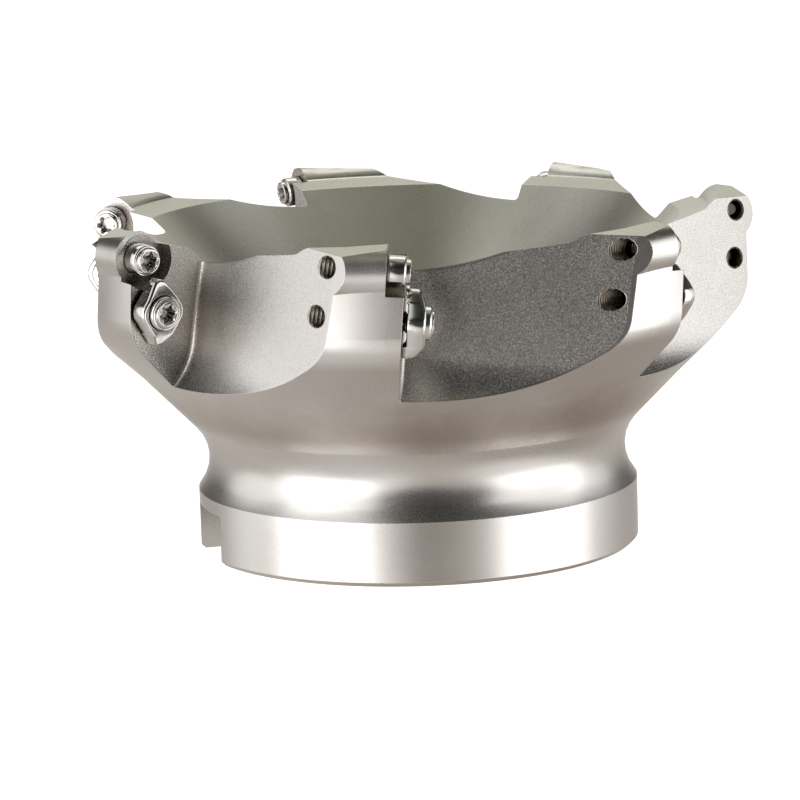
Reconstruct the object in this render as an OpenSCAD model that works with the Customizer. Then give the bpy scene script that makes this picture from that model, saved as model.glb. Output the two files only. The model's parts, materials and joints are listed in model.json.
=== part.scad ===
// Indexable face mill for round inserts: body with seven seats, each with its insert screw,
// its clamp and its clamp screw. The seats are empty, as they are when the inserts are off.
// The origin is the centre of the bore on the face that meets the arbor, +Z points to the
// cutting end, and the two drive slots lie along X. The cutter turns anticlockwise when it
// is seen from the cutting end, so each rake face looks that way.

/* [Cutter] */
// Radius over the lands, without inserts
land_r = 60.8; // [60:0.1:61.5]
// Height of the widest part of the rim's dished end face
rim_z = 60.35; // [60:0.05:60.5]
// Angle from the first drive slot to the first tooth, in degrees
first_tooth = 45; // [43:0.5:47]

/* [Arbor end] */
// Diameter of the bore for the arbor's pilot
bore_d = 40; // [32:0.5:40]
// Length of the bore, up to the seat of the arbor screw
bore_len = 30; // [26:0.5:32]
// Diameter of the recess for the head of the arbor screw
recess_d = 60; // [54:1:62]
// Diameter of the flange
flange_d = 80; // [79:0.5:81]
// Height of the flange's straight edge
flange_h = 11.3; // [11:0.1:12]
// Width of each drive slot
slot_w = 16.4; // [14:0.1:18]
// Depth of each drive slot
slot_depth = 9; // [7:0.1:10]

/* [Neck and cone] */
// Smallest radius of the neck
neck_r = 37.9; // [37:0.1:38.5]
// Height of the narrowest place of the neck
neck_z = 17.2; // [16.5:0.1:18]
// Radius of the neck's hollow
neck_fillet = 9; // [8:0.1:9.5]
// Radius of the round between the cone and the land
shoulder_fillet = 8; // [5:0.5:10]

/* [Seat] */
// Radius of the circle on which the insert axes lie, at the seat floor
seat_r = 57.5; // [57:0.1:58]
// Height of the insert axis at the seat floor
seat_z = 58.2; // [57.8:0.1:58.6]
// Radius of the pocket for a round insert
pocket_r = 5.05; // [5:0.01:5.2]
// Depth of the pocket below the rake face
pocket_depth = 3.2; // [2.8:0.1:3.5]
// Axial rake in degrees
axial_rake = 5.2; // [4:0.1:6]
// Radial rake in degrees
radial_rake = 2.4; // [1.8:0.1:3]
// Radius of the nose behind the insert, at the seat floor
nose_r = 4.5; // [4.3:0.05:4.7]
// Radius of the nose at the back of the tooth
nose_back_r = 4.15; // [4:0.05:4.3]

/* [Chip gullet] */
// Distance of the gullet's round part from the cutter's axis
gullet_wall = 47.7; // [47.4:0.1:48]
// Radius of the gullet's round lower part
gullet_r = 12; // [11:0.5:13]
// Height of the gullet's centre at the rake face
gullet_z = 44.2; // [43.8:0.1:44.8]
// Lean of the gullet's flat wall towards the axis, in degrees
gullet_lean = 7.2; // [6:0.2:8]
// Radius of the root between the gullet and the rake face
root_r = 0.7; // [0.6:0.1:1.2]

/* [Screws] */
// Radius of both screws' shanks
shank_r = 1.9; // [1.7:0.05:2]
// Radial clearance of a shank in its hole
shank_gap = 0.05; // [0.03:0.01:0.08]
// Radius of the insert screw's head
insert_head_r = 2.75; // [2.6:0.05:2.8]
// Radius of the clamp screw's head
clamp_head_r = 2.95; // [2.7:0.05:3]
// Radius of the raised ring around a screw's socket
ring_r = 2.2; // [2.1:0.05:2.3]
// Distance across opposite lobes of the six-lobe socket
socket_w = 3.3; // [2.8:0.1:3.4]
// Depth of the socket
socket_depth = 1.9; // [1.2:0.1:2.2]

/* [Clamp] */
// Distance from the insert's axis down to the clamp screw's axis
clamp_drop = 8.56; // [8.5:0.02:8.8]
// Distance from the insert's axis inward to the clamp screw's axis
clamp_in = 0.95; // [0.8:0.05:1.1]
// Gap between the rake face and the underside of the clamp
clamp_gap = 0.8; // [0.6:0.05:0.9]
// Thickness of the clamp
clamp_t = 3.1; // [2.9:0.1:3.3]
// Half the width of the clamp
clamp_half_w = 4.3; // [4.1:0.05:4.5]
// Reach of the clamp's nose from its screw's axis
nose_reach = 5.75; // [5.5:0.05:5.75]
// Reach of the clamp's heel from its screw's axis
heel_reach = 6.2; // [6:0.1:6.4]

/* [Hidden] */
$fn = 96;
teeth = 7;
pitch = 360 / teeth;

steel = [0.78, 0.77, 0.75];
bright_steel = [0.86, 0.86, 0.87];
far = 60;

flange_r = flange_d / 2;
edge_chamfer = 0.8;

// The neck's hollow meets the flange's edge below and the 45 degree cone above.
neck_c = [neck_r + neck_fillet, neck_z];
cone_start = neck_c + neck_fillet * [-cos(45), sin(45)];
cone_offset = cone_start[1] - cone_start[0];

// The round at the shoulder touches the cone and the land.
shoulder_reach = shoulder_fillet * tan(22.5);
shoulder_z = land_r + cone_offset;
shoulder_c = [land_r - shoulder_fillet, shoulder_z + shoulder_reach];
shoulder_low = [land_r, shoulder_z] - shoulder_reach * [cos(45), sin(45)];

// The rim rises to a rounded crest, and its inner side falls as a dish and then a cone.
crest_r = 4;
crest_c = [land_r - crest_r, 58.2];
dish_out = 53.2;
dish_in = 48.65;
dish_fall = 1.15;
bowl_top = [dish_in, rim_z - dish_fall];
bowl_foot = [recess_d / 2, bowl_top[1] - (dish_in - recess_d / 2)];

// The relief plane falls outward and towards the back of the tooth.
relief_anchor = [54.6, -14.9, 61.5];
relief_outward = 9.6;
relief_back = 5.7;

seat_t = -0.26;
gullet_skew = 1.7;
gullet_len = 50;
gullet_height = 26;
// The flat wall crosses the round part instead of only touching it.
wall_step = 0.02;
nose_back_t = -18;
land_relief_t = 22;

insert_hole_len = 16;
clamp_hole_len = 18;
hole_r = shank_r + shank_gap;

insert_head_low = 0.1;
insert_head_h = 3.1;
insert_ring_h = 0.85;
insert_shank_len = 6.5;
clamp_head_h = 2.8;
clamp_head_sink = 1.9;
clamp_ring_h = 0.45;
clamp_shank_len = 11;
head_chamfer = 0.35;
ring_chamfer = 0.3;
shank_chamfer = 0.5;

clamp_low = pocket_depth + clamp_gap;
clamp_top = clamp_low + clamp_t;
side_round = 2.6;
nose_round = 1.6;
heel_round = 1.3;
counterbore_r = clamp_head_r + 0.15;
nose_slope = 20;
nose_slope_start = 2.4;
heel_slope = 38;
heel_slope_start = 4;
nose_pad_y = 3.6;
nose_pad_drop = 0.6;
heel_pad_y = 3.9;
heel_gap = 0.02;

// The frame of a tooth: x is radial, y is tangential and z is the cutter's axis.
module at_tooth(i) {
    rotate([0, 0, first_tooth + (i - 1) * pitch]) children();
}

// The frame of a seat: x is outward, y is towards the arbor and z leaves the seat floor.
module at_seat(skew = radial_rake) {
    translate([seat_r, seat_t, seat_z]) rotate([-90 - axial_rake, 0, skew]) children();
}

module at_clamp_screw() {
    translate([-clamp_in, clamp_drop, 0]) children();
}

// Half section of the turned body, without teeth.
module body_section() {
    difference() {
        union() {
            polygon([
                [bore_d / 2 + edge_chamfer, 0],
                [flange_r - edge_chamfer, 0],
                [flange_r, edge_chamfer],
                [flange_r, flange_h],
                cone_start,
                shoulder_low,
                [land_r, shoulder_c[1]],
                [land_r, crest_c[1]],
                [crest_c[0], crest_c[1] + crest_r],
                [dish_out, rim_z],
                bowl_top,
                bowl_foot,
                [recess_d / 2, bore_len],
                [bore_d / 2, bore_len],
                [bore_d / 2, edge_chamfer]
            ]);
            translate(shoulder_c) circle(r = shoulder_fillet);
            translate(crest_c) circle(r = crest_r);
        }
        translate(neck_c) circle(r = neck_fillet);
    }
}

// The rounded nose that backs the insert, along the tooth.
module nose() {
    length = -nose_back_t;
    translate([seat_r, 0, seat_z]) rotate([90, 0, 0])
        cylinder(r1 = nose_r, r2 = nose_back_r, h = length);
}

// Everything above the relief plane of a tooth.
module relief_cut() {
    translate(relief_anchor) rotate([relief_back, relief_outward, 0])
        translate([-8, -6, 0]) cube([20, land_relief_t, 8]);
}

// A rectangle with one rounded corner, the section of the gullet's end.
module lip_section(reach) {
    square([reach - root_r, gullet_len]);
    translate([0, root_r]) square([reach, gullet_len - root_r]);
    translate([reach - root_r, root_r]) circle(r = root_r);
}

// The gullet: a leaning flat wall above a round lower part, starting at the rake face.
module gullet() {
    at_seat(gullet_skew)
        translate([gullet_wall - seat_r + gullet_r, seat_z - gullet_z, pocket_depth]) {
            rotate_extrude() lip_section(gullet_r);
            rotate([90, 0, -gullet_lean]) linear_extrude(height = gullet_height) {
                mirror([1, 0]) lip_section(gullet_r - wall_step);
                square([gullet_r + 2, gullet_len]);
            }
        }
}

module seat_cut() {
    at_seat() {
        cylinder(r = pocket_r, h = pocket_depth + 6);
        translate([0, 0, -insert_hole_len]) cylinder(r = hole_r, h = insert_hole_len + 1);
        at_clamp_screw() translate([0, 0, -clamp_hole_len])
            cylinder(r = hole_r, h = clamp_hole_len + 6);
    }
}

module drive_slots() {
    translate([-far, -slot_w / 2, -1]) cube([2 * far, slot_w, slot_depth + 1]);
}

module cutter_body() {
    color(steel) difference() {
        union() {
            rotate_extrude($fn = 180) body_section();
            for (i = [1:teeth]) at_tooth(i) nose();
        }
        drive_slots();
        for (i = [1:teeth]) at_tooth(i) {
            gullet();
            seat_cut();
            relief_cut();
        }
    }
}

// A round head with a raised ring around its socket, on a shank that points down.
module screw(head_r, head_h, ring_h, shank_len) {
    difference() {
        union() {
            translate([0, 0, shank_chamfer - shank_len])
                cylinder(r = shank_r, h = shank_len - shank_chamfer);
            translate([0, 0, -shank_len])
                cylinder(r1 = shank_r - shank_chamfer, r2 = shank_r, h = shank_chamfer);
            cylinder(r = head_r, h = head_h - head_chamfer);
            translate([0, 0, head_h - head_chamfer])
                cylinder(r1 = head_r, r2 = head_r - head_chamfer, h = head_chamfer);
            cylinder(r = ring_r, h = head_h + ring_h - ring_chamfer);
            translate([0, 0, head_h + ring_h - ring_chamfer])
                cylinder(r1 = ring_r, r2 = ring_r - ring_chamfer, h = ring_chamfer);
        }
        translate([0, 0, head_h + ring_h - socket_depth])
            linear_extrude(height = socket_depth + 1) six_lobes();
    }
}

// The six-lobe outline of the sockets.
module six_lobes() {
    flute_r = socket_w * 0.17;
    difference() {
        circle(r = socket_w / 2);
        for (a = [0:60:300]) rotate(a) translate([socket_w * 0.36 + flute_r, 0])
            circle(r = flute_r);
    }
}

module insert_screw(i) {
    color(bright_steel) at_tooth(i) at_seat() translate([0, 0, insert_head_low])
        screw(insert_head_r, insert_head_h, insert_ring_h, insert_shank_len);
}

module clamp_screw(i) {
    color(bright_steel) at_tooth(i) at_seat() at_clamp_screw()
        translate([0, 0, clamp_top - clamp_head_sink])
        screw(clamp_head_r, clamp_head_h, clamp_ring_h, clamp_shank_len);
}

// The unit normal of the line that touches two circles on their outer side.
function touch_normal(a, ra, b, rb) =
    let (turn = atan2(b[1] - a[1], b[0] - a[0]), lean = acos((ra - rb) / norm(b - a)))
    [cos(turn - lean), sin(turn - lean)];

// A convex outline around four circles, given in anticlockwise order.
module around(centres, radii) {
    count = len(centres);
    for (i = [0:count - 1]) translate(centres[i]) circle(r = radii[i]);
    polygon([
        for (i = [0:count - 1])
            let (j = (i + 1) % count, n = touch_normal(centres[i], radii[i], centres[j], radii[j]))
            each [centres[i] + radii[i] * n, centres[j] + radii[j] * n]
    ]);
}

module clamp_outline() {
    side = clamp_half_w - side_round;
    around(
        [[side, 0], [0, heel_reach - heel_round], [-side, 0], [0, nose_round - nose_reach]],
        [side_round, heel_round, side_round, nose_round]
    );
}

// The clamp's plate with sloped ends, a pad under the nose and a heel on the rake face.
module clamp_blank() {
    difference() {
        union() {
            translate([0, 0, clamp_low]) linear_extrude(height = clamp_t) clamp_outline();
            intersection() {
                translate([0, 0, clamp_low - nose_pad_drop])
                    linear_extrude(height = nose_pad_drop + 1) clamp_outline();
                translate([-far / 2, -far - nose_pad_y, 0]) cube(far);
            }
            intersection() {
                translate([0, 0, pocket_depth - 1])
                    linear_extrude(height = clamp_gap + 2) clamp_outline();
                translate([-far / 2, heel_pad_y, 0]) cube(far);
            }
        }
        translate([0, -nose_slope_start, clamp_top]) rotate([nose_slope, 0, 0])
            translate([-far / 2, -far, 0]) cube(far);
        translate([0, heel_slope_start, clamp_top]) rotate([-heel_slope, 0, 0])
            translate([-far / 2, 0, 0]) cube(far);
    }
}

module clamp(i) {
    color(bright_steel) at_tooth(i) difference() {
        at_seat() at_clamp_screw() difference() {
            clamp_blank();
            cylinder(r = hole_r, h = clamp_top + 1);
            translate([0, 0, clamp_top - clamp_head_sink])
                cylinder(r = counterbore_r, h = clamp_head_sink + 1);
        }
        at_seat(gullet_skew) translate([-far / 2, -far / 2, pocket_depth + heel_gap - far])
            cube(far);
    }
}

cutter_body();
for (i = [1:teeth]) {
    insert_screw(i);
    clamp(i);
    clamp_screw(i);
}
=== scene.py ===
"""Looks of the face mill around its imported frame.

Screws, clamps and tapped threads, then the materials, the floor, the light and the camera.
"""
import json
import math

import bmesh
import bpy
from mathutils import Matrix, Vector
from mathutils.bvhtree import BVHTree


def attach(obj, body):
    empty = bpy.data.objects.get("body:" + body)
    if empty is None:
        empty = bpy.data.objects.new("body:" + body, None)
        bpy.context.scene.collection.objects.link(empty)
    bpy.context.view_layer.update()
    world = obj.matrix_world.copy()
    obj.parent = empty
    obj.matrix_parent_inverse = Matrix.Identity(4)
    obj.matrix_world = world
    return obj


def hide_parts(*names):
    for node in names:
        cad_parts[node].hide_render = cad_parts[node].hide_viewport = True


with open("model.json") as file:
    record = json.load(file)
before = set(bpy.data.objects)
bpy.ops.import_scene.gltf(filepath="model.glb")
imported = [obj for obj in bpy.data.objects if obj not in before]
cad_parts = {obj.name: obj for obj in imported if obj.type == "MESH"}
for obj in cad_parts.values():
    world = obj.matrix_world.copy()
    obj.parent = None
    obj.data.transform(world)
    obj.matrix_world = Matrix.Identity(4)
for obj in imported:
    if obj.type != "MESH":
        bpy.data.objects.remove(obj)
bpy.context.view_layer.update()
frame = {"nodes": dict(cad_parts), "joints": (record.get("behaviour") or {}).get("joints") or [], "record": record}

MM = 0.001
TEETH = range(1, 8)

# Screws, in millimetres. In the frame of a seat, z leaves the seat floor and the clamp's screw lies at
# -SCREW_IN, SCREW_DROP.
SCREW_IN = 0.95
SCREW_DROP = 8.56
THREAD_PITCH = 0.7
THREAD_MAJOR = 1.9
THREAD_MINOR = 1.5
HOLE_R = 1.94
HOLE_CREST = 1.66
THREAD_STEEPNESS = 4.2
THREAD_FULLNESS = 1.7
TIP_R = 1.0
TIP_CHAMFER = 0.3
RUN_OUT = 0.5
RUN_OUT_ROWS = 6
LOBE_MEAN = 1.4
LOBE_SWING = 0.25
LOBE_FLATNESS = 1.25
SOCKET_DEPTH = 1.9
RING_R = 2.2
INSERT_SCREW = {"tip": -6.4, "low": 0.1, "step": 3.2, "top": 4.05, "head": 2.75}
CLAMP_SCREW = {"tip": -5.8, "low": 5.2, "step": 8.0, "top": 8.45, "head": 2.95}
SIDES = 72
ROWS_PER_PITCH = 8
TURN_PER_TOOTH = 17
INSERT_SCREW_TURN = 9
SHARP_SCREW = 32

# Thread ridges in the open ends of the holes, in millimetres.
SCREW_TIP_GAP = 0.5
RIDGE_GAP = 0.03
PROBE_GAP = 0.12
PROBE_START = -30
RIDGE_FADE_ROWS = 4

# Clamps, in millimetres, in the frame of their screw: -y points to the insert.
CLAMP_CIRCLES = ((1.7, 0.0, 2.6), (0.0, 4.9, 1.3), (-1.7, 0.0, 2.6), (0.0, -4.15, 1.6))
CLAMP_LOW = 4.0
CLAMP_TOP = 7.1
CLAMP_EDGE = 0.55
CLAMP_SIDES = 144
CLAMP_HOLE_R = THREAD_MAJOR + 0.05
CLAMP_FLAT_R = 3.5
CLAMP_BEND = 0.3
EDGE_STEPS = 7
SIDE_INSET = 0.01
TOP_INSET = 0.005
SHARP_CLAMP = 40
NOSE_START = 2.4
NOSE_SLOPE = math.tan(math.radians(20))
HEEL_START = 4.0
HEEL_SLOPE = math.tan(math.radians(38))
NOSE_PAD = 3.42
NOSE_PAD_END = -3.68
HEEL_PAD = 3.32
HEEL_PAD_START = 3.98
COUNTERBORE_R = 3.1
COUNTERBORE_FLOOR = 5.17

# Turned outline of the body, in metres, which tells its milled faces from its turned ones.
CONE_SHIFT = 16.97 * MM
SHOULDER_R = 8.0 * MM
SHOULDER_CENTRE = (52.8 * MM, 47.14 * MM)
SHOULDER_FALL = 5.657 * MM
BOWL_SHIFT = 10.55 * MM
GULLET_FOOT = 30 * MM
RIM_FOOT = 56 * MM
MASK_NEAR = 0.45 * MM
MASK_FULL = 0.60 * MM


# ---------------------------------------------------------------- seat frames

def seat_frame(tooth):
    """The matrix from a seat's millimetres to the model's metres, from its mount and its screw's joint."""
    mount = next(m for m in frame["record"]["mounts"] if m["name"] == f"insert_seat_{tooth}")
    joint = next(j for j in frame["joints"] if j["name"] == f"clamp_screw_{tooth}_turn")
    origin = Vector(mount["pos_m"])
    leave = Vector(mount["axis"]).normalized()
    span = Vector(joint["pos_m"]) - origin
    span -= leave * span.dot(leave)
    turn = math.atan2(SCREW_DROP, -SCREW_IN)
    out = (Matrix.Rotation(-turn, 3, leave) @ span).normalized()
    axes = Matrix((out, leave.cross(out), leave)).transposed().to_4x4()
    return Matrix.Translation(origin) @ axes @ Matrix.Scale(MM, 4)


def screw_frame(tooth):
    """The seat's frame moved to the clamp screw's axis."""
    return seat_frame(tooth) @ Matrix.Translation((-SCREW_IN, SCREW_DROP, 0))


# ---------------------------------------------------------------- mesh helpers

def new_piece(name, mesh, material, body):
    mesh.materials.append(material)
    obj = bpy.data.objects.new(name, mesh)
    bpy.context.scene.collection.objects.link(obj)
    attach(obj, body)
    return obj


def round_mesh(name, rings, place, sharp, looped=False):
    """Joins rings of equal counts into a skin, closed by caps or, when looped, by its first ring."""
    count = len(rings[0])
    points = [place @ Vector(p) for ring in rings for p in ring]
    faces = []
    for k in range(len(rings) if looped else len(rings) - 1):
        after = (k + 1) % len(rings)
        for i in range(count):
            j = (i + 1) % count
            faces.append((k * count + i, k * count + j, after * count + j, after * count + i))
    if not looped:
        for k, flip in ((0, True), (len(rings) - 1, False)):
            centre = sum((Vector(p) for p in rings[k]), Vector()) / count
            points.append(place @ centre)
            for i in range(count):
                pair = (k * count + i, k * count + (i + 1) % count)
                faces.append((*(pair[::-1] if flip else pair), len(points) - 1))
    mesh = bpy.data.meshes.new(name)
    mesh.from_pydata(points, [], faces)
    mesh.shade_smooth()
    mesh.set_sharp_from_angle(angle=math.radians(sharp))
    return mesh


def circle(radius, z):
    """A ring whose radius is a number or a function of the angle."""
    points = []
    for i in range(SIDES):
        a = 2 * math.pi * i / SIDES
        r = radius(a) if callable(radius) else radius
        points.append((r * math.cos(a), r * math.sin(a), z))
    return points


def thread_radius(z, root, crest):
    """The radius of a right-hand thread with flat crests, as a function of the angle."""
    def radius(a):
        phase = (z / THREAD_PITCH - a / (2 * math.pi)) % 1
        lift = min(1, max(0, THREAD_FULLNESS - THREAD_STEEPNESS * abs(phase - 0.5)))
        return root + (crest - root) * lift
    return radius


def lobes(scale):
    """The radius of the six-lobe socket, as a function of the angle."""
    def radius(a):
        swing = math.sin(LOBE_FLATNESS * math.cos(6 * a)) / math.sin(LOBE_FLATNESS)
        return scale * (LOBE_MEAN + LOBE_SWING * swing)
    return radius


# ---------------------------------------------------------------- screws

def screw_rings(sizes):
    """From the tip, up the thread, round the head and the ring, and down into the socket."""
    tip, low, step, top, head = sizes["tip"], sizes["low"], sizes["step"], sizes["top"], sizes["head"]
    start, end = tip + TIP_CHAMFER, low - RUN_OUT
    rings = [circle(TIP_R, tip), circle(THREAD_MINOR - 0.05, start)]
    steps = int((end - start) / THREAD_PITCH * ROWS_PER_PITCH)
    for k in range(1, steps):
        z = start + (end - start) * k / steps
        fade = min(1, k / RUN_OUT_ROWS, (steps - k) / RUN_OUT_ROWS)
        crest = THREAD_MINOR + (THREAD_MAJOR - THREAD_MINOR) * fade
        rings.append(circle(thread_radius(z, THREAD_MINOR, crest), z))
    rings += [circle(radius, z) for radius, z in (
        (THREAD_MINOR, end), (THREAD_MINOR, low), (THREAD_MINOR + 0.02, low + 0.001), (head - 0.2, low),
        (head - 0.06, low + 0.06), (head, low + 0.2),
        (head, step - 0.36), (head - 0.05, step - 0.17), (head - 0.18, step - 0.04), (head - 0.34, step),
        (RING_R + 0.08, step), (RING_R, step + 0.07), (RING_R, top - 0.26), (RING_R - 0.08, top - 0.08),
        (RING_R - 0.25, top), (LOBE_MEAN + LOBE_SWING + 0.15, top),
    )]
    rings += [circle(lobes(1.06), top - 0.08), circle(lobes(1.0), top - 0.22)]
    rings += [circle(lobes(0.98), top - SOCKET_DEPTH + 0.2), circle(lobes(0.9), top - SOCKET_DEPTH + 0.05)]
    rings.append(circle(0.5, top - SOCKET_DEPTH))
    return rings


def screws(material):
    """Both screws of each tooth, with their sockets turned differently from tooth to tooth."""
    for tooth in TEETH:
        for kind, sizes, place, extra in (
            ("insert_screw", INSERT_SCREW, seat_frame(tooth), INSERT_SCREW_TURN),
            ("clamp_screw", CLAMP_SCREW, screw_frame(tooth), 0),
        ):
            node = f"{kind}_{tooth}"
            turned = place @ Matrix.Rotation(math.radians(TURN_PER_TOOTH * tooth + extra), 4, "Z")
            mesh = round_mesh(node + "_turned", screw_rings(sizes), turned, SHARP_SCREW)
            piece = new_piece(node + "_turned", mesh, material, node)
            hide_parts(node)


# ---------------------------------------------------------------- clamps

def clamp_reach(angle, inset):
    """How far the clamp's outline, moved inward by the inset, lies from the screw's axis."""
    best = math.inf
    for k in range(360):
        turn = math.radians(k)
        facing = math.cos(turn - angle)
        if facing > 0.2:
            wide = max(x * math.cos(turn) + y * math.sin(turn) + r for x, y, r in CLAMP_CIRCLES)
            best = min(best, (wide - inset) / facing)
    return best


def softened(distance):
    """The distance where it is positive and 0 where it is negative, with a soft bend between them."""
    return (distance + math.hypot(distance, CLAMP_BEND)) / 2


def clamp_top(y):
    """The top, which falls towards the nose and the heel."""
    return CLAMP_TOP - NOSE_SLOPE * softened(-NOSE_START - y) - HEEL_SLOPE * softened(y - HEEL_START)


def clamp_low(y):
    """The underside, with its nose pad and its heel."""
    if y < NOSE_PAD_END:
        return NOSE_PAD
    return HEEL_PAD if y > HEEL_PAD_START else CLAMP_LOW


def clamp_ring(reach, height):
    """A ring whose reach is a number or one value per angle, and whose height follows y."""
    points = []
    for i in range(CLAMP_SIDES):
        a = 2 * math.pi * i / CLAMP_SIDES
        r = reach[i] if isinstance(reach, list) else reach
        x, y = r * math.cos(a), r * math.sin(a)
        points.append((x, y, height(y)))
    return points


def clamp_rings():
    """From the hole out along the underside, up the side, over the top and down the counterbore."""
    angles = [2 * math.pi * i / CLAMP_SIDES for i in range(CLAMP_SIDES)]
    rings = [clamp_ring(radius, lambda y: CLAMP_LOW) for radius in (CLAMP_HOLE_R, CLAMP_FLAT_R)]
    for inset, lift in ((0.16, 0.0), (0.06, 0.05), (SIDE_INSET, 0.16)):
        reach = [clamp_reach(a, inset) for a in angles]
        rings.append(clamp_ring(reach, lambda y: clamp_low(y) + lift))
    for step in range(EDGE_STEPS + 1):
        bend = math.radians(90 - 90 * step / EDGE_STEPS)
        reach = [clamp_reach(a, SIDE_INSET + CLAMP_EDGE * (1 - math.sin(bend))) for a in angles]
        fall = CLAMP_EDGE * (1 - math.cos(bend))
        rings.append(clamp_ring(reach, lambda y: clamp_top(y) - TOP_INSET - fall))
    inner = COUNTERBORE_R + 0.14
    for share in (0.7, 0.35):
        reach = [inner + share * (clamp_reach(a, SIDE_INSET + CLAMP_EDGE) - inner) for a in angles]
        rings.append(clamp_ring(reach, lambda y: clamp_top(y) - TOP_INSET))
    for radius, fall in ((inner, TOP_INSET), (COUNTERBORE_R + 0.04, 0.045), (COUNTERBORE_R, 0.15)):
        rings.append(clamp_ring(radius, lambda y: clamp_top(y) - fall))
    for radius in (COUNTERBORE_R, CLAMP_HOLE_R):
        rings.append(clamp_ring(radius, lambda y: COUNTERBORE_FLOOR))
    return rings


def clamps(material):
    """The seven clamps, all of one shape."""
    rings = clamp_rings()
    for tooth in TEETH:
        node = f"clamp_{tooth}"
        mesh = round_mesh(node + "_rounded", rings, screw_frame(tooth), SHARP_CLAMP, looped=True)
        piece = new_piece(node + "_rounded", mesh, material, node)
        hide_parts(node)


# ---------------------------------------------------------------- tapped holes

def tapped_holes(material):
    """Thread ridges inside the open ends of the screw holes, cut off where the tooth's back ends."""
    node = frame["nodes"]["cutter_body"]
    bm = bmesh.new()
    bm.from_mesh(node.data)
    tree = BVHTree.FromBMesh(bm)
    bm.free()
    for tooth in TEETH:
        for kind, sizes, place in (
            ("insert", INSERT_SCREW, seat_frame(tooth)),
            ("clamp", CLAMP_SCREW, screw_frame(tooth)),
        ):
            name = f"{kind}_thread_{tooth}"
            mouth = [exit_height(tree, place, 2 * math.pi * i / SIDES) for i in range(SIDES)]
            if None in mouth:
                continue
            mesh = liner_mesh(name, place, mouth, sizes["tip"] - SCREW_TIP_GAP)
            new_piece(name, mesh, material, "cutter_body")


def exit_height(tree, place, angle):
    """Where the back of the tooth lies just outside the hole, at one angle, or None past its edge."""
    r = HOLE_R + PROBE_GAP
    start = place @ Vector((r * math.cos(angle), r * math.sin(angle), PROBE_START))
    way = (place.to_3x3() @ Vector((0, 0, 1))).normalized()
    hit = tree.ray_cast(start, way)[0]
    return (place.inverted() @ hit).z if hit else None


def liner_mesh(name, place, mouth, deep):
    """Ridges from the mouth, given as one height per angle, to a flat end deep in the hole."""
    rows = int((deep - min(mouth)) / THREAD_PITCH * ROWS_PER_PITCH) + 1
    points = []
    for k in range(rows + 1):
        for i, low in enumerate(mouth):
            a = 2 * math.pi * i / SIDES
            z = low + RIDGE_GAP + (deep - low - RIDGE_GAP) * k / rows
            fade = min(1, k / RIDGE_FADE_ROWS)
            r = HOLE_R - (HOLE_R - HOLE_CREST) * fade * (thread_radius(z, 0, 1)(a) * 0.9 + 0.1)
            points.append(place @ Vector((r * math.cos(a), r * math.sin(a), z)))
    faces = []
    for k in range(rows):
        for i in range(SIDES):
            j = (i + 1) % SIDES
            faces.append((k * SIDES + j, k * SIDES + i, (k + 1) * SIDES + i, (k + 1) * SIDES + j))
    mesh = bpy.data.meshes.new(name)
    mesh.from_pydata(points, [], faces)
    mesh.shade_smooth()
    return mesh


# ---------------------------------------------------------------- node helpers

def new_material(name):
    """An empty material, with the tree and the shader that its nodes go to."""
    material = bpy.data.materials.new(name)
    material.use_nodes = True
    tree = material.node_tree
    tree.nodes.clear()
    output = tree.nodes.new("ShaderNodeOutputMaterial")
    shader = tree.nodes.new("ShaderNodeBsdfPrincipled")
    tree.links.new(shader.outputs["BSDF"], output.inputs["Surface"])
    return material, tree, shader


def add(tree, kind, inputs=None, **settings):
    """A node with its settings, and its inputs set or linked by name or number."""
    node = tree.nodes.new(kind)
    for key, value in settings.items():
        setattr(node, key, value)
    for key, value in (inputs or {}).items():
        if isinstance(value, bpy.types.NodeSocket):
            tree.links.new(value, node.inputs[key])
        else:
            node.inputs[key].default_value = value
    return node


def maths(tree, operation, a, b=0.0, c=0.0):
    return add(tree, "ShaderNodeMath", {0: a, 1: b, 2: c}, operation=operation).outputs[0]


def ramp(tree, value, stops):
    """The colour at a value, from stops of a place and a colour."""
    node = add(tree, "ShaderNodeValToRGB", {"Fac": value})
    elements = node.color_ramp.elements
    for index, (place, colour) in enumerate(stops):
        element = elements[index] if index < 2 else elements.new(place)
        element.position = place
        element.color = (*colour, 1)
    return node.outputs["Color"]


def noise(tree, vector, scale, detail=3.0, roughness=0.5):
    inputs = {"Vector": vector, "Scale": scale, "Detail": detail, "Roughness": roughness}
    return add(tree, "ShaderNodeTexNoise", inputs).outputs["Fac"]


def step_between(tree, value, low, high):
    inputs = {"Value": value, "From Min": low, "From Max": high}
    return add(tree, "ShaderNodeMapRange", inputs, interpolation_type="SMOOTHSTEP").outputs["Result"]


def blend_colours(tree, factor, a, b, blend_type="MIX"):
    node = add(tree, "ShaderNodeMix", data_type="RGBA", blend_type=blend_type)
    for index, value in ((0, factor), (6, a), (7, b)):
        if isinstance(value, bpy.types.NodeSocket):
            tree.links.new(value, node.inputs[index])
        else:
            node.inputs[index].default_value = value if index == 0 else (*value, 1)
    return node.outputs[2]


def bump(tree, height, strength, distance, normal):
    inputs = {"Height": height, "Strength": strength, "Distance": distance, "Normal": normal}
    return add(tree, "ShaderNodeBump", inputs).outputs["Normal"]


def grey(value):
    return (value, value, value)


# ---------------------------------------------------------------- materials

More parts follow.
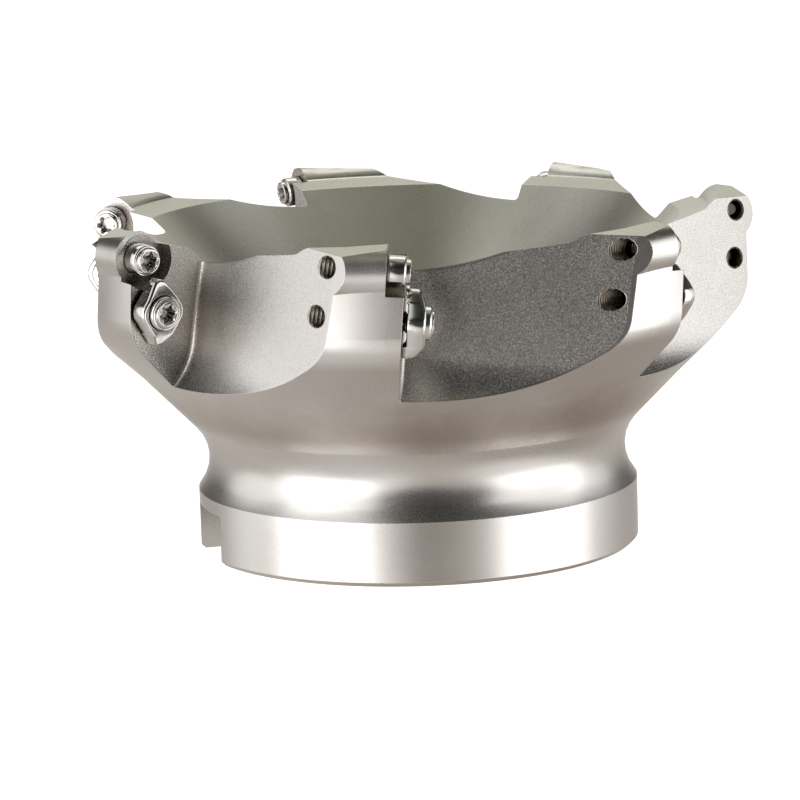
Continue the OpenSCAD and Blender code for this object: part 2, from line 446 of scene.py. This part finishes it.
def milled_mask(tree, x, y, z, normal_z):
    """1 on the milled faces of the teeth and 0 on the turned faces, and the distance from the axis."""
    squares = maths(tree, "ADD", maths(tree, "MULTIPLY", x, x), maths(tree, "MULTIPLY", y, y))
    radius = maths(tree, "SQRT", squares)
    drop = maths(tree, "SUBTRACT", SHOULDER_CENTRE[1], z)
    drop = maths(tree, "MINIMUM", maths(tree, "MAXIMUM", drop, 0.0), SHOULDER_FALL)
    chord = maths(tree, "SUBTRACT", SHOULDER_R ** 2, maths(tree, "MULTIPLY", drop, drop))
    shoulder = maths(tree, "ADD", maths(tree, "SQRT", chord), SHOULDER_CENTRE[0])
    turned = maths(tree, "MINIMUM", maths(tree, "ADD", z, CONE_SHIFT), shoulder)
    inside = step_between(tree, maths(tree, "SUBTRACT", turned, radius), MASK_NEAR, MASK_FULL)
    bowl = maths(tree, "SUBTRACT", z, BOWL_SHIFT)
    off_bowl = step_between(tree, maths(tree, "SUBTRACT", radius, bowl), MASK_NEAR, MASK_FULL)
    above = step_between(tree, z, GULLET_FOOT, GULLET_FOOT + 1 * MM)
    rim = maths(tree, "MULTIPLY", step_between(tree, z, RIM_FOOT - 1 * MM, RIM_FOOT),
                step_between(tree, normal_z, 0.45, 0.6))
    side = maths(tree, "MULTIPLY", above, maths(tree, "SUBTRACT", 1.0, rim))
    return maths(tree, "MULTIPLY", maths(tree, "MULTIPLY", inside, off_bowl), side), radius


def body_material():
    """Plated and blasted steel: turned rings on the round faces and a sparkling grain on the milled ones. It has
    painted shade in the corners, in the hollows and low on the cone, and a painted reflection tint on the upward
    faces.
    """
    material, tree, shader = new_material("body_steel")
    coords = add(tree, "ShaderNodeTexCoord")
    where = coords.outputs["Object"]
    x, y, z = add(tree, "ShaderNodeSeparateXYZ", {"Vector": where}).outputs
    normal_z = add(tree, "ShaderNodeSeparateXYZ", {"Vector": coords.outputs["Normal"]}).outputs[2]
    milled, radius = milled_mask(tree, x, y, z, normal_z)
    lathed = maths(tree, "SUBTRACT", 1.0, milled)

    cloud = noise(tree, where, 45.0, 4.0, 0.6)
    grain = noise(tree, where, 4200.0, 2.0, 0.65)
    specks = noise(tree, where, 4800.0, 3.0, 0.7)
    rings = add(tree, "ShaderNodeCombineXYZ", {0: radius, 1: z, 2: maths(tree, "MULTIPLY", cloud, 0.0004)})
    lathe = noise(tree, rings.outputs[0], 4200.0, 2.0, 0.6)

    base = ramp(tree, cloud, [
        (0.25, (0.655, 0.630, 0.602)), (0.5, (0.700, 0.680, 0.655)), (0.8, (0.735, 0.722, 0.702)),
    ])
    dusty = ramp(tree, specks, [(0.40, grey(0.88)), (0.51, grey(0.96)), (0.62, grey(1.30))])
    speckled = blend_colours(tree, maths(tree, "MULTIPLY", milled, 0.65), base, dusty, "MULTIPLY")
    # Painted reflection: upward faces above 40 mm get a faint olive tint for the room above that they reflect.
    up = step_between(tree, normal_z, 0.35, 0.65)
    top_reflection_tint = maths(tree, "MULTIPLY", up, step_between(tree, z, 40 * MM, 46 * MM))
    tinted = blend_colours(tree, top_reflection_tint, speckled, (0.995, 1.0, 0.94), "MULTIPLY")
    # Painted shade: ambient occlusion darkens the colour in brown in corners and creases, where shade falls.
    corner = add(tree, "ShaderNodeAmbientOcclusion", {"Distance": 3.0 * MM}, samples=8).outputs["AO"]
    painted_corner_shade = ramp(tree, corner, [(0.26, (0.22, 0.19, 0.165)), (0.64, grey(1.0))])
    # Painted shade: a wider ambient occlusion darkens the colour in brown in the hollows of the gullets and at
    # their roots.
    root = add(tree, "ShaderNodeAmbientOcclusion", {"Distance": 7.5 * MM}, samples=8).outputs["AO"]
    painted_hollow_shade = ramp(tree, root, [(0.46, (0.46, 0.40, 0.36)), (0.72, grey(1.0))])
    hollow_shaded = blend_colours(tree, 0.75, tinted, painted_hollow_shade, "MULTIPLY")
    corner_shaded = blend_colours(tree, 0.85, hollow_shaded, painted_corner_shade, "MULTIPLY")
    # Painted shade: turned faces above 23 mm are darkened in a warm tone low down. This fades out between 32 and
    # 42 mm along a cloudy edge and stands for the shadowed floor that the cone reflects.
    uneven = maths(tree, "ADD", z, maths(tree, "MULTIPLY", cloud, 12 * MM))
    cone_shade_fade = step_between(tree, uneven, 32 * MM, 42 * MM)
    painted_cone_shade = ramp(tree, cone_shade_fade, [(0.0, (0.74, 0.69, 0.64)), (1.0, grey(1.0))])
    cone = maths(tree, "MULTIPLY", lathed, step_between(tree, z, 23 * MM, 27 * MM))
    tree.links.new(blend_colours(tree, cone, corner_shaded, painted_cone_shade, "MULTIPLY"), shader.inputs["Base Color"])

    rough = maths(tree, "ADD", maths(tree, "MULTIPLY", grain, 0.14), 0.18)
    sparkle = maths(tree, "SUBTRACT", step_between(tree, specks, 0.50, 0.64), 0.25)
    rough = maths(tree, "ADD", rough, maths(tree, "MULTIPLY", maths(tree, "MULTIPLY", milled, sparkle), 0.16))
    rough = maths(tree, "ADD", rough, maths(tree, "MULTIPLY", cloud, 0.08))
    tree.links.new(rough, shader.inputs["Roughness"])

    bevel = add(tree, "ShaderNodeBevel", {"Radius": 0.16 * MM}, samples=4).outputs["Normal"]
    marks = bump(tree, lathe, maths(tree, "MULTIPLY", lathed, 0.12), 0.02 * MM, bevel)
    fine = bump(tree, grain, 0.30, 0.012 * MM, marks)
    coarse = bump(tree, specks, maths(tree, "MULTIPLY", milled, 0.9), 0.04 * MM, fine)
    tree.links.new(coarse, shader.inputs["Normal"])
    shader.inputs["Metallic"].default_value = 1.0
    return material


def thread_material():
    """Steel inside the tapped holes, in a darker tone than the body's, with painted shade that darkens it further
    away from the mouth.
    """
    material, tree, shader = new_material("thread_steel")
    where = add(tree, "ShaderNodeTexCoord").outputs["Object"]
    smear = noise(tree, where, 900.0, 3.0, 0.6)
    base = ramp(tree, smear, [(0.3, (0.27, 0.24, 0.20)), (0.7, (0.42, 0.38, 0.33))])
    # Painted shade: ambient occlusion darkens the threads deep inside the hole.
    open_sky = add(tree, "ShaderNodeAmbientOcclusion", {"Distance": 4 * MM}, samples=6).outputs["AO"]
    shade = ramp(tree, open_sky, [(0.12, (0.10, 0.08, 0.06)), (0.45, grey(1.0))])
    tree.links.new(blend_colours(tree, 0.9, base, shade, "MULTIPLY"), shader.inputs["Base Color"])
    rough = ramp(tree, smear, [(0.3, grey(0.22)), (0.7, grey(0.36))])
    tree.links.new(rough, shader.inputs["Roughness"])
    shader.inputs["Metallic"].default_value = 1.0
    return material


def bright_material():
    """Polished and plated steel with fine scratches and painted shade in the corners."""
    material, tree, shader = new_material("bright_steel")
    where = add(tree, "ShaderNodeTexCoord").outputs["Object"]
    smear = noise(tree, where, 700.0, 4.0, 0.6)
    stretch = {"Vector": where, "Rotation": (0.5, 0.3, 0.9), "Scale": (1, 9, 1)}
    stretched = add(tree, "ShaderNodeMapping", stretch).outputs["Vector"]
    scratch = noise(tree, stretched, 1500.0, 3.0, 0.7)
    base = ramp(tree, smear, [(0.3, (0.74, 0.725, 0.70)), (0.7, (0.83, 0.82, 0.80))])
    # Painted shade: ambient occlusion darkens the colour nearly to black in corners and crevices, such as round
    # the screw heads.
    corner = add(tree, "ShaderNodeAmbientOcclusion", {"Distance": 2.0 * MM}, samples=8).outputs["AO"]
    painted_corner_shade = ramp(tree, corner, [(0.28, (0.03, 0.025, 0.02)), (0.62, grey(1.0))])
    tree.links.new(blend_colours(tree, 1.0, base, painted_corner_shade, "MULTIPLY"), shader.inputs["Base Color"])
    rough = ramp(tree, smear, [(0.3, grey(0.09)), (0.7, grey(0.17))])
    tree.links.new(rough, shader.inputs["Roughness"])
    scratched = add(tree, "ShaderNodeBump", {"Height": scratch, "Strength": 0.12, "Distance": 0.01 * MM})
    tree.links.new(scratched.outputs["Normal"], shader.inputs["Normal"])
    shader.inputs["Metallic"].default_value = 1.0
    return material


# ---------------------------------------------------------------- stage, light, camera

VIEW_AZIMUTH = -15.4
VIEW_ELEVATION = 9.8
VIEW_ROLL = 1.75
VIEW_DISTANCE = 0.7346
LENS = 181.7
SENSOR = 36.0
LENS_SHIFT = (-0.0183, -0.0418)
AIM = Vector((0, 0, 32 * MM))
FLOOR_HALF = 4.0
FLOOR_GLOW = 0.9

# The room's colour from straight down, at 0, to straight up, at 1.
ROOM_STOPS = [
    (0.0, (0.52, 0.48, 0.44)),
    (0.20, (0.58, 0.54, 0.50)),
    (0.38, (0.50, 0.46, 0.43)),
    (0.46, (0.34, 0.31, 0.29)),
    (0.53, (0.10, 0.095, 0.09)),
    (0.80, (0.03, 0.03, 0.027)),
    (1.0, (0.10, 0.105, 0.07)),
]

# Soft patches of the room: azimuth, elevation, the cosines where a patch begins and is full, and its colour.
PATCHES = [
    (140, -60, 0.76, 0.97, (0.37, 0.325, 0.29)),
    (180, 58, 0.82, 0.97, (0.60, 0.605, 0.56)),
    (180, 26, 0.80, 0.97, (0.60, 0.60, 0.53)),
    (130, 75, 0.92, 0.985, (0.36, 0.365, 0.31)),
    (180, -6, 0.92, 0.99, (0.78, 0.77, 0.75)),
    (-98, 5, 0.87, 0.965, (1.12, 1.11, 1.10)),
    (-62, 47, 0.86, 0.97, (0.92, 0.92, 0.90)),
    (-45, -22, 0.72, 0.97, (1.15, 1.12, 1.10)),
    (62, -26, 0.80, 0.97, (0.95, 0.93, 0.91)),
    (108, 6, 0.91, 0.985, (0.90, 0.90, 0.89)),
    (-50, -50, 0.86, 0.99, (0.68, 0.66, 0.64)),
    (12, 40, 0.86, 0.96, (0.02, 0.02, 0.018)),
    (3, 8, 0.90, 0.985, (0.045, 0.04, 0.037)),
]


def direction(azimuth, elevation):
    """A unit vector from the cutter; azimuth 0 points at the camera and grows to the camera's right."""
    a, e = math.radians(VIEW_AZIMUTH + azimuth), math.radians(elevation)
    return Vector((math.sin(a) * math.cos(e), -math.cos(a) * math.cos(e), math.sin(e)))


def floor():
    """White paper that glows, is not mirrored in the steel and casts no shadow."""
    mesh = bpy.data.meshes.new("floor")
    half = FLOOR_HALF
    corners = [(-half, -half, 0), (half, -half, 0), (half, half, 0), (-half, half, 0)]
    mesh.from_pydata(corners, [], [(0, 1, 2, 3)])
    obj = bpy.data.objects.new("floor", mesh)
    bpy.context.scene.collection.objects.link(obj)
    material, _, shader = new_material("floor_paper")
    shader.inputs["Base Color"].default_value = (0.9, 0.9, 0.9, 1)
    shader.inputs["Roughness"].default_value = 0.9
    shader.inputs["Emission Color"].default_value = (1, 1, 1, 1)
    shader.inputs["Emission Strength"].default_value = FLOOR_GLOW
    obj.data.materials.append(material)
    obj.visible_glossy = False
    obj.visible_shadow = False


def softbox(name, azimuth, elevation, distance, size, radiance):
    """A rectangular light that faces the cutter."""
    lamp = bpy.data.lights.new(name, "AREA")
    lamp.shape = "RECTANGLE"
    lamp.size, lamp.size_y = size
    lamp.energy = radiance * math.pi * size[0] * size[1]
    obj = bpy.data.objects.new(name, lamp)
    bpy.context.scene.collection.objects.link(obj)
    away = direction(azimuth, elevation)
    obj.location = AIM + away * distance
    obj.rotation_euler = away.to_track_quat("Z", "Y").to_euler()


def studio_world():
    """A dim room: grey below, dark above and in front, with soft pale patches behind and under the lights."""
    world = bpy.data.worlds.new("studio")
    bpy.context.scene.world = world
    world.use_nodes = True
    tree = world.node_tree
    way = add(tree, "ShaderNodeTexCoord").outputs["Generated"]
    split = add(tree, "ShaderNodeSeparateXYZ", {"Vector": way})
    height = add(tree, "ShaderNodeMapRange", {"Value": split.outputs["Z"], "From Min": -1.0, "From Max": 1.0})
    colour = ramp(tree, height.outputs["Result"], ROOM_STOPS)
    for azimuth, elevation, start, full, tint in PATCHES:
        ways = {0: way, 1: direction(azimuth, elevation)}
        near = add(tree, "ShaderNodeVectorMath", ways, operation="DOT_PRODUCT").outputs["Value"]
        colour = blend_colours(tree, step_between(tree, near, start, full), colour, tint)
    tree.links.new(colour, tree.nodes["Background"].inputs["Color"])


def light():
    softbox("left_box", -50, 4, 0.60, (0.60, 0.70), 1.30)
    softbox("right_box", 69, 4, 0.60, (0.65, 0.66), 1.27)
    softbox("back_box", 180, 60, 0.90, (1.1, 0.4), 0.75)
    studio_world()


def camera():
    data = bpy.data.cameras.new("camera")
    data.sensor_width = SENSOR
    data.lens = LENS
    data.shift_x, data.shift_y = LENS_SHIFT
    data.clip_start = 0.05
    data.clip_end = 20
    obj = bpy.data.objects.new("camera", data)
    bpy.context.scene.collection.objects.link(obj)
    back = direction(0, VIEW_ELEVATION)
    right = direction(90, 0)
    up = back.cross(right)
    roll = Matrix.Rotation(math.radians(-VIEW_ROLL), 3, back)
    turn = Matrix((roll @ right, roll @ up, back)).transposed().to_4x4()
    obj.matrix_world = Matrix.Translation(AIM + back * VIEW_DISTANCE) @ turn
    bpy.context.scene.camera = obj


# ---------------------------------------------------------------- build

body_steel = body_material()
bright_steel = bright_material()
cutter = frame["nodes"]["cutter_body"]
cutter.data.materials.clear()
cutter.data.materials.append(body_steel)
screws(bright_steel)
clamps(bright_steel)
tapped_holes(thread_material())
bpy.context.scene.view_settings.view_transform = "Standard"
floor()
light()
camera()
